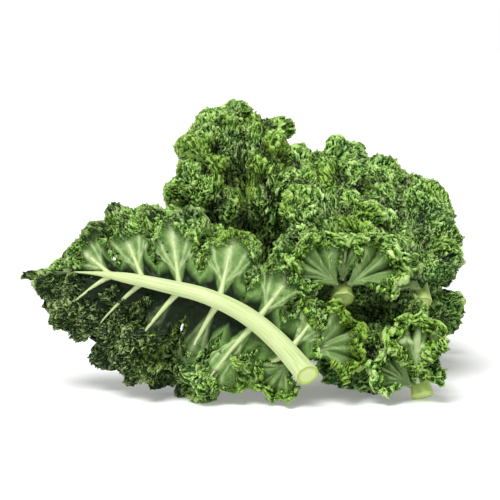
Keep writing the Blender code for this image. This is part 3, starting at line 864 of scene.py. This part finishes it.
class Stalk:
    """A leaf's midrib with its side ribs, from the cut end to near the tip."""

    CUT_RADIUS = 0.0078
    TIP_RADIUS = 0.0012
    AROUND = 40
    STEPS = 90
    LENGTH_SHARE = 0.97
    CUT_SHARES = (0.10, 0.30, 0.55, 0.76, 0.90, 0.975)
    CUT_DIPS = (0.85, 0.70, 0.40, 0.15, 0.0, 0.05)
    CUT_START = 0.00045
    CUT_FLARE = 0.08
    FLARE_LENGTH = 0.010
    BELOW_BLADE = 0.0006
    TAPER = 0.9
    SEEN_TAPER = 0.62
    GROOVE = 0.14
    BLADE_FREE = 0.0025
    RIB_REACH = 0.34
    SEEN_RIB_REACH = 0.66
    RIB_AROUND = 8
    RIB_STEPS = 22
    RIB_RADIUS = 0.0023
    RIB_FOOT = 0.0020
    RIB_TIP = 0.0004
    SLANT_LENGTH = 0.025

    def __init__(self, form: LeafForm) -> None:
        """Prepares the route and the blade's formula."""
        self.form = form
        self.shape = BladeShape(form)
        self.route = self.shape.route
        self.spots: list[Array] = []
        self.triangles: list[Array] = []
        self.fibre: list[Array] = []
        self.cut: list[Array] = []
        self.count = 0

    def tube(self, centres: Array, across: Array, up: Array, ring: Array,
             sizes: Array, along: Array, cut: Array, slant: float = 0.0) -> None:
        """Adds a closed tube.

        Args:
            centres: the centre of each ring.
            across: the way to the side at each ring.
            up: the way up at each ring.
            ring: the corners of a ring, as (across, up) shares of its size.
            sizes: the size of each ring.
            along: how far along its fibres each ring is, in metres.
            cut: how near to the cut face's rim each ring is, or 0 for the skin.
            slant: how far the first end is cut aslant, towards the front.
        """
        around = len(ring)
        flat = ring[None] * sizes[:, None, None]
        offset = flat[..., :1] * across[:, None] + flat[..., 1:] * up[:, None]
        fading = slant * np.clip(1 - along / self.SLANT_LENGTH, 0, 1) ** 1.5
        shift = -offset[..., 1:2] * fading[:, None, None] * np.cross(up, across)[:, None]
        spots = centres[:, None] + offset + shift
        self.spots.append(np.vstack([spots.reshape(-1, 3), centres[:1], centres[-1:]]))
        numbers = self.count + np.arange(len(sizes) * around).reshape(-1, around)
        nexts = np.roll(numbers, -1, axis=1)
        a, b, c, d = numbers[:-1].ravel(), nexts[:-1].ravel(), numbers[1:].ravel(), nexts[1:].ravel()
        first = self.count + numbers.size
        corners = [(a, d, b), (a, c, d), (np.full(around, first), numbers[0], nexts[0]),
                   (np.full(around, first + 1), nexts[-1], numbers[-1])]
        self.triangles += [np.column_stack(three) for three in corners]
        turned = ring / np.linalg.norm(ring, axis=1, keepdims=True)
        fibre = np.concatenate([np.repeat(along[:, None, None], around, axis=1),
                                np.repeat(turned[None], len(sizes), axis=0)], axis=2)
        self.fibre.append(np.vstack([fibre.reshape(-1, 3), [[along[0], 0, 0], [along[-1], 0, 0]]]))
        self.cut.append(np.concatenate([np.repeat(cut, around), [cut[0], 0.0]]))
        self.count += numbers.size + 2

    def midrib(self) -> None:
        """The midrib: round below, with a shallow groove above, and a cut face that is a little hollow."""
        length = self.route.length
        along = np.linspace(0.0, length * self.LENGTH_SHARE, self.STEPS)
        taper = (1 - along / length) ** (self.SEEN_TAPER if self.form.fine_under else self.TAPER)
        radii = self.TIP_RADIUS + (self.CUT_RADIUS - self.TIP_RADIUS) * taper
        radii = radii * (1 + self.CUT_FLARE * np.exp(-along / self.FLARE_LENGTH))
        radii = radii * (1 - 0.7 * ease(along / length, 0.72, 0.97))
        share = np.array(self.CUT_SHARES)
        dip = np.array(self.CUT_DIPS) * MM
        centre, _, side, face = self.route.frame(np.concatenate([dip, along + self.CUT_START]))
        body = np.concatenate([np.full(len(share), radii[0]), radii])
        centre = centre - face * (body + BLADE_THICK / 2 + self.BELOW_BLADE)[:, None]
        turn = np.linspace(0, 2 * math.pi, self.AROUND, endpoint=False)
        draw = np.random.default_rng(self.form.seed + 7)
        ribbed = 1 + 0.020 * np.cos(7 * turn + draw.uniform(0, 6))
        ribbed = ribbed + 0.014 * np.cos(12 * turn + draw.uniform(0, 6))
        ribbed = ribbed - self.GROOVE * bell(turn - math.pi / 2, 0.45)
        ring = np.column_stack([1.05 * np.cos(turn), 0.94 * np.sin(turn)]) * ribbed[:, None]
        cut = np.concatenate([0.3 + 0.7 * share, np.zeros(len(radii))])
        self.tube(centre, side, face, ring, np.concatenate([share * radii[0], radii]),
                  np.concatenate([np.zeros(len(share)), along]), cut, self.form.slant)

    def rib(self, side: int, number: int) -> None:
        """A side rib under the middle of its lobe, from inside the midrib, wide at its foot."""
        form = self.form
        reach = self.SEEN_RIB_REACH if form.fine_under else self.RIB_REACH
        v = np.linspace(0.0, reach, self.RIB_STEPS)
        u = np.full(self.RIB_STEPS, (number + 0.5) / (form.lobes + 0.5))
        normal = self.shape.normals(side, u, v)
        spot = self.shape.points(side, u, v)
        share = v / reach
        radii = self.RIB_RADIUS * (1 - share) ** 1.1 + self.RIB_FOOT * np.exp(-share / 0.08)
        radii = radii * (1 - 0.06 * number) + self.RIB_TIP
        below = radii * 0.55 if form.fine_under else radii + self.BLADE_FREE
        below = below + form.sunk * ease(v, 0.0, 0.3)
        outward = unit(np.gradient(spot, axis=0))
        turn = np.linspace(0, 2 * math.pi, self.RIB_AROUND, endpoint=False)
        ring = np.column_stack([np.cos(turn), 0.85 * np.sin(turn)])
        self.tube(spot - normal * below[:, None], np.cross(outward, normal), normal, ring, radii,
                  0.1 + 0.05 * share, np.zeros(self.RIB_STEPS))

    def build(self) -> Mesh:
        """The stalk's vertices, triangles and vertex values."""
        self.midrib()
        for side in range(2):
            for number in range(self.form.lobes):
                self.rib(side, number)
        values = {
            Attribute.FIBRE: np.vstack(self.fibre), Attribute.CUT: np.concatenate(self.cut),
            Attribute.TONE: np.full(self.count, 0.0 if self.form.fine_under else 0.7),
        }
        return np.vstack(self.spots), np.vstack(self.triangles), values


class NodeSheet:
    """A material's or group's nodes, with short ways to add and link them."""

    def __init__(self, tree: bpy.types.NodeTree) -> None:
        """Takes the tree to fill."""
        self.tree = tree

    def add(self, kind: str, inputs: dict[str | int, object] | None = None, **settings: object
            ) -> bpy.types.Node:
        """A new node of that kind, with its properties set and its inputs set or linked."""
        node = self.tree.nodes.new(kind)
        for key, value in settings.items():
            setattr(node, key, value)
        for key, value in (inputs or {}).items():
            self.give(value, node.inputs[key])
        return node

    def give(self, value: object, target: Socket) -> None:
        """Links a socket to an input, or sets the input to a number or an (r, g, b) triple."""
        if isinstance(value, Socket):
            self.tree.links.new(value, target)
        else:
            target.default_value = (*value, 1.0) if target.type == "RGBA" else value

    def math(self, operation: str, first: object, second: object = 0.0) -> Socket:
        """A Math node of two values or sockets."""
        return self.add("ShaderNodeMath", {0: first, 1: second}, operation=operation).outputs[0]

    def mix(self, share: object, first: object, second: object) -> Socket:
        """A colour between two, each a socket or an (r, g, b) triple."""
        return self.add("ShaderNodeMix", {0: share, 6: first, 7: second}, data_type="RGBA").outputs[2]

    def value(self, key: Attribute, output: str = "Fac") -> Socket:
        """The vertex value of that name."""
        return self.add("ShaderNodeAttribute", attribute_name=key.value).outputs[output]

    def lines(self, source: Socket, sharp: float) -> Socket:
        """1 where the source is 0, falling to 0 within a distance of 1 / sharp."""
        return self.math("MAXIMUM", self.math("SUBTRACT", 1.0, self.math("MULTIPLY", source, sharp)), 0.0)

    def ramp(self, source: Socket, stops: tuple[tuple[float, Triple], ...]) -> Socket:
        """A colour ramp over a value."""
        node = self.add("ShaderNodeValToRGB", {0: source})
        bar = node.color_ramp
        while len(bar.elements) < len(stops):
            bar.elements.new(0.5)
        for element, (place, colour) in zip(bar.elements, stops):
            element.position = place
            element.color = (*colour, 1.0)
        return node.outputs[0]


def painted(name: str) -> tuple[bpy.types.Material, NodeSheet, bpy.types.Node]:
    """A new material, its node sheet and its Principled shader."""
    made = bpy.data.materials.new(name)
    made.use_nodes = True
    return made, NodeSheet(made.node_tree), made.node_tree.nodes["Principled BSDF"]


class Mottle:
    """A shader group shared by blade and stalk: soft patches of tone and a fine leaf grain as a normal."""

    GRAIN_DEPTH = 0.0004

    def __init__(self) -> None:
        """Builds the group once."""
        self.tree = bpy.data.node_groups.new("leaf_mottle", "ShaderNodeTree")
        for name in ("Patch Scale", "Grain Scale", "Grain Height"):
            self.tree.interface.new_socket(name, in_out="INPUT", socket_type="NodeSocketFloat")
        self.tree.interface.new_socket("Patch", in_out="OUTPUT", socket_type="NodeSocketFloat")
        self.tree.interface.new_socket("Normal", in_out="OUTPUT", socket_type="NodeSocketVector")
        sheet = NodeSheet(self.tree)
        given = sheet.add("NodeGroupInput").outputs
        place = sheet.add("ShaderNodeTexCoord").outputs["Object"]
        patch, grain = (
            sheet.add("ShaderNodeTexNoise", {"Detail": detail, "Vector": place, "Scale": given[scale]})
            for detail, scale in ((3.0, "Patch Scale"), (4.0, "Grain Scale"))
        )
        bump = sheet.add("ShaderNodeBump", {
            "Distance": self.GRAIN_DEPTH, "Strength": given["Grain Height"], "Height": grain.outputs["Fac"],
        })
        sheet.add("NodeGroupOutput", {"Patch": patch.outputs["Fac"], "Normal": bump.outputs["Normal"]})

    def place(self, sheet: NodeSheet, patch_scale: float, grain_scale: float, grain_height: float
              ) -> bpy.types.Node:
        """Puts the group in a material with its own values."""
        given = {"Patch Scale": patch_scale, "Grain Scale": grain_scale, "Grain Height": grain_height}
        return sheet.add("ShaderNodeGroup", given, node_tree=self.tree)


@dataclass(frozen=True)
class BladeFinish:
    """The green of a blade: painted shade in the valleys, painted highlights on the crests, dusty with pale
    veins below.
    """

    # Painted shade: the near-black green of the valleys and of shaded lobes.
    painted_shade_green: Triple = (0.003, 0.010, 0.0015)
    body: Triple = (0.054, 0.172, 0.010)
    # Painted highlights: bright is the crests' lit green and edge the lighter green at their tops.
    bright: Triple = (0.250, 0.520, 0.058)
    edge: Triple = (0.680, 0.860, 0.380)
    # Painted light: the green that lobes with negative shade are lightened towards.
    painted_light: Triple = (0.340, 0.500, 0.130)
    yellow: Triple = (0.260, 0.420, 0.025)
    blue: Triple = (0.022, 0.085, 0.024)
    dusty: Triple = (0.130, 0.245, 0.060)
    vein: Triple = (0.540, 0.660, 0.330)
    roughness: float = 0.42
    specular: float = 0.14
    patch_scale: float = 60.0
    grain_scale: float = 900.0
    grain_height: float = 0.35
    most_tint: float = 0.8
    curl_scale: float = 420.0
    net_scale: float = 330.0

    def material(self, mottle: Mottle) -> bpy.types.Material:
        """The blade's material."""
        made, sheet, shader = painted("kale_blade")
        reckon = sheet.math
        group = mottle.place(sheet, self.patch_scale, self.grain_scale, self.grain_height)
        patch = group.outputs["Patch"]
        place = sheet.add("ShaderNodeTexCoord").outputs["Object"]
        crest = sheet.value(Attribute.CREST)
        tone = sheet.value(Attribute.TONE)
        shade = sheet.value(Attribute.SHADE)
        varied = reckon("MULTIPLY", reckon("SUBTRACT", patch, 0.5), 0.5)
        # Painted highlights: thin bright curl lines, added with the crest value and the patches into lit.
        noise = {"Scale": self.curl_scale, "Detail": 1.0, "Distortion": 1.2, "Vector": place}
        curls = sheet.add("ShaderNodeTexNoise", noise).outputs["Fac"]
        away = reckon("ABSOLUTE", reckon("SUBTRACT", curls, 0.5))
        curled = reckon("SUBTRACT", reckon("MULTIPLY", sheet.lines(away, 13.0), 0.50), 0.15)
        lit = reckon("ADD", reckon("ADD", crest, varied), curled)
        # The ramp over lit paints shade in the valleys and highlights on the crests.
        stops = ((0.18, self.painted_shade_green), (0.38, self.body), (0.59, self.bright), (0.88, self.edge))
        warm = reckon("MULTIPLY", reckon("MAXIMUM", tone, 0.0), reckon("MULTIPLY", lit, 0.9))
        cool = reckon("MULTIPLY", reckon("MAXIMUM", reckon("MULTIPLY", tone, -1.0), 0.0), 0.55)
        green = sheet.mix(reckon("MINIMUM", warm, self.most_tint), sheet.ramp(lit, stops), self.yellow)
        green = sheet.mix(reckon("MINIMUM", cool, self.most_tint), green, self.blue)
        net = sheet.add("ShaderNodeTexVoronoi", {"Scale": self.net_scale, "Vector": place},
                        feature="DISTANCE_TO_EDGE")
        net_lines = reckon("MULTIPLY", sheet.lines(net.outputs["Distance"], 14.0), 0.20)
        pale = reckon("ADD", reckon("MULTIPLY", sheet.value(Attribute.VEIN), 0.85), net_lines)
        dusty = sheet.mix(0.6, sheet.mix(patch, self.body, self.dusty), self.dusty)
        dusty = sheet.mix(reckon("MINIMUM", pale, 1.0), dusty, self.vein)
        flat = reckon("SUBTRACT", 1.0, reckon("MINIMUM", reckon("MULTIPLY", crest, 3.0), 1.0))
        colour = sheet.mix(reckon("MULTIPLY", sheet.value(Attribute.UNDER), flat), green, dusty)
        # Painted light where the shade value is negative, strongest where lit is high.
        painted_light_share = reckon("MAXIMUM", reckon("MULTIPLY", reckon("MULTIPLY", shade, -0.9), lit), 0.0)
        colour = sheet.mix(reckon("MINIMUM", painted_light_share, self.most_tint), colour, self.painted_light)
        # Painted shade where the shade value is positive, mixed towards the dark green and partly spared on
        # the painted highlights (height is lit squared).
        height = reckon("POWER", reckon("MINIMUM", lit, 1.0), 2.0)
        shade_kept = reckon("SUBTRACT", 1.0, reckon("MULTIPLY", height, 0.65))
        painted_shade = reckon("MULTIPLY", reckon("MAXIMUM", shade, 0.0), shade_kept)
        sheet.give(sheet.mix(painted_shade, colour, self.painted_shade_green), shader.inputs["Base Color"])
        shader.inputs["Specular IOR Level"].default_value = self.specular
        rough = reckon("ADD", self.roughness - 0.1, reckon("MULTIPLY", patch, 0.2))
        sheet.give(rough, shader.inputs["Roughness"])
        sheet.give(group.outputs["Normal"], shader.inputs["Normal"])
        return made


@dataclass(frozen=True)
class StalkFinish:
    """The pale cream green of a stalk, with fine fibres along it and a yellow-green cut face."""

    pale: Triple = (0.660, 0.740, 0.400)
    green: Triple = (0.360, 0.540, 0.120)
    fresh: Triple = (0.440, 0.640, 0.110)
    skin: Triple = (0.330, 0.500, 0.060)
    ring: Triple = (0.520, 0.680, 0.150)
    pith: Triple = (0.680, 0.790, 0.330)
    roughness: float = 0.38
    patch_scale: float = 60.0
    grain_scale: float = 1400.0
    grain_height: float = 0.25
    fibre_stretch: Triple = (22.0, 5.0, 5.0)
    fibre_depth: float = 0.0006

    def material(self, mottle: Mottle) -> bpy.types.Material:
        """The stalk's material."""
        made, sheet, shader = painted("kale_stalk")
        group = mottle.place(sheet, self.patch_scale, self.grain_scale, self.grain_height)
        cut = sheet.value(Attribute.CUT)
        stretched = sheet.add("ShaderNodeVectorMath", {
            0: sheet.value(Attribute.FIBRE, "Vector"), 1: self.fibre_stretch,
        }, operation="MULTIPLY").outputs[0]
        noise = {"Scale": 1.6, "Detail": 5.0, "Vector": stretched}
        strands = sheet.add("ShaderNodeTexNoise", noise).outputs["Fac"]
        skin = sheet.ramp(strands, ((0.30, self.green), (0.52, self.pale), (1.0, self.pale)))
        skin = sheet.mix(sheet.math("MULTIPLY", group.outputs["Patch"], 0.3), skin, self.green)
        skin = sheet.mix(sheet.value(Attribute.TONE), skin, self.fresh)
        face = sheet.ramp(cut, ((0.30, self.pith), (0.72, self.pith), (0.82, self.ring), (0.97, self.skin)))
        is_cut = sheet.math("GREATER_THAN", cut, 0.15)
        sheet.give(sheet.mix(is_cut, skin, face), shader.inputs["Base Color"])
        given = {"Distance": self.fibre_depth, "Strength": 0.35, "Height": strands}
        bump = sheet.add("ShaderNodeBump", {**given, "Normal": group.outputs["Normal"]})
        sheet.give(bump.outputs["Normal"], shader.inputs["Normal"])
        shader.inputs["Roughness"].default_value = self.roughness
        return made


class Studio:
    """The pale floor, the soft light and the camera."""

    TARGET = (0.005, -0.02, 0.108)
    DISTANCE = 1.25
    ELEVATION = 7.5
    LENS = 112.4
    SENSOR = 36.0
    FLOOR_RADIUS = 40.0
    FLOOR_CORNERS = 64
    FLOOR_COLOUR = (0.82, 0.82, 0.82, 1.0)
    FLOOR_GLOW = 0.20
    WHITE = (1.0, 1.0, 1.0, 1.0)
    AMBIENT = 0.52
    KEY_FROM = (-0.25, -0.50, 1.0)
    KEY_SPREAD = 30.0
    KEY_STRENGTH = 3.0

    def floor(self) -> None:
        """A plain pale floor under everything."""
        count = self.FLOOR_CORNERS
        turn = np.linspace(0, 2 * math.pi, count, endpoint=False)
        ring = np.column_stack([np.cos(turn), np.sin(turn), np.zeros(count)]) * self.FLOOR_RADIUS
        mesh = bpy.data.meshes.new("floor")
        mesh.from_pydata([tuple(p) for p in ring], [], [tuple(range(count))])
        white, _, shader = painted("white_floor")
        shader.inputs["Base Color"].default_value = self.FLOOR_COLOUR
        shader.inputs["Roughness"].default_value = 0.8
        shader.inputs["Specular IOR Level"].default_value = 0.1
        shader.inputs["Emission Color"].default_value = self.WHITE
        shader.inputs["Emission Strength"].default_value = self.FLOOR_GLOW
        mesh.materials.append(white)
        made = linked("floor", mesh)

    def aimed(self, name: str, data: bpy.types.ID, back: Vector) -> bpy.types.Object:
        """A lamp or camera that looks the other way than back points."""
        made = linked(name, data)
        made.rotation_mode = "QUATERNION"
        made.rotation_quaternion = (-back).to_track_quat("-Z", "Y")
        return made

    def key(self) -> None:
        """A soft light from far away, above and to the left."""
        lamp = bpy.data.lights.new("key", "SUN")
        lamp.angle = math.radians(self.KEY_SPREAD)
        lamp.energy = self.KEY_STRENGTH
        self.aimed("key", lamp, Vector(self.KEY_FROM))

    def camera(self) -> None:
        """The camera at the photograph's angle."""
        data = bpy.data.cameras.new("camera")
        data.lens = self.LENS
        data.sensor_width = self.SENSOR
        lift = math.radians(self.ELEVATION)
        back = Vector((0.0, -math.cos(lift), math.sin(lift)))
        made = self.aimed("camera", data, back)
        made.location = Vector(self.TARGET) + back * self.DISTANCE
        bpy.context.scene.camera = made

    def build(self) -> None:
        """Sets up the whole studio."""
        self.floor()
        self.key()
        world = bpy.data.worlds.new("white_room")
        world.use_nodes = True
        sheet = NodeSheet(world.node_tree)
        background = world.node_tree.nodes["Background"]
        background.inputs["Color"].default_value = self.WHITE
        seen = sheet.add("ShaderNodeLightPath").outputs["Is Camera Ray"]
        strength = sheet.math("ADD", sheet.math("MULTIPLY", seen, 1.0 - self.AMBIENT), self.AMBIENT)
        sheet.give(strength, background.inputs["Strength"])
        bpy.context.scene.world = world
        bpy.context.scene.view_settings.view_transform = "Standard"
        self.camera()


@dataclass(frozen=True)
class Leaf:
    """One leaf, in place of its two CAD nodes: its midrib, its two half blades and its leaflets."""

    form: LeafForm
    blade_material: bpy.types.Material
    stalk_material: bpy.types.Material

    def keep(self, piece: bpy.types.Object, kind: str) -> None:
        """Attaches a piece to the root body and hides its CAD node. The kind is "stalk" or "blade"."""
        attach(piece, "root")
        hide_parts(f"{self.form.name}_{kind}")
        log.info("%s: %d triangles", piece.name, len(piece.data.polygons))

    def build(self) -> None:
        """Builds the leaf's three pieces, and a fourth where it has leaflets."""
        name = self.form.name
        self.keep(mesh_object(f"{name}_midrib", Stalk(self.form).build(), self.stalk_material), "stalk")
        for side, word in enumerate(("right", "left")):
            made = Blade(self.form, side).build()
            self.keep(mesh_object(f"{name}_{word}_half", made, self.blade_material), "blade")
        fans = [Fan(form).build() for form in FANS if form.leaf == name]
        if fans:
            self.keep(mesh_object(f"{name}_fans", gathered(fans), self.blade_material), "blade")


def main() -> None:
    """Loads the frame, builds each leaf, sets up the studio and notes the sizes."""
    logging.basicConfig(level=logging.INFO, format="%(name)s %(message)s")
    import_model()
    mottle = Mottle()
    blade_material = BladeFinish().material(mottle)
    stalk_material = StalkFinish().material(mottle)
    for form in LEAVES:
        Leaf(form, blade_material, stalk_material).build()
    Studio().build()
    bpy.context.view_layer.update()


if __name__ == "__main__":
    main()
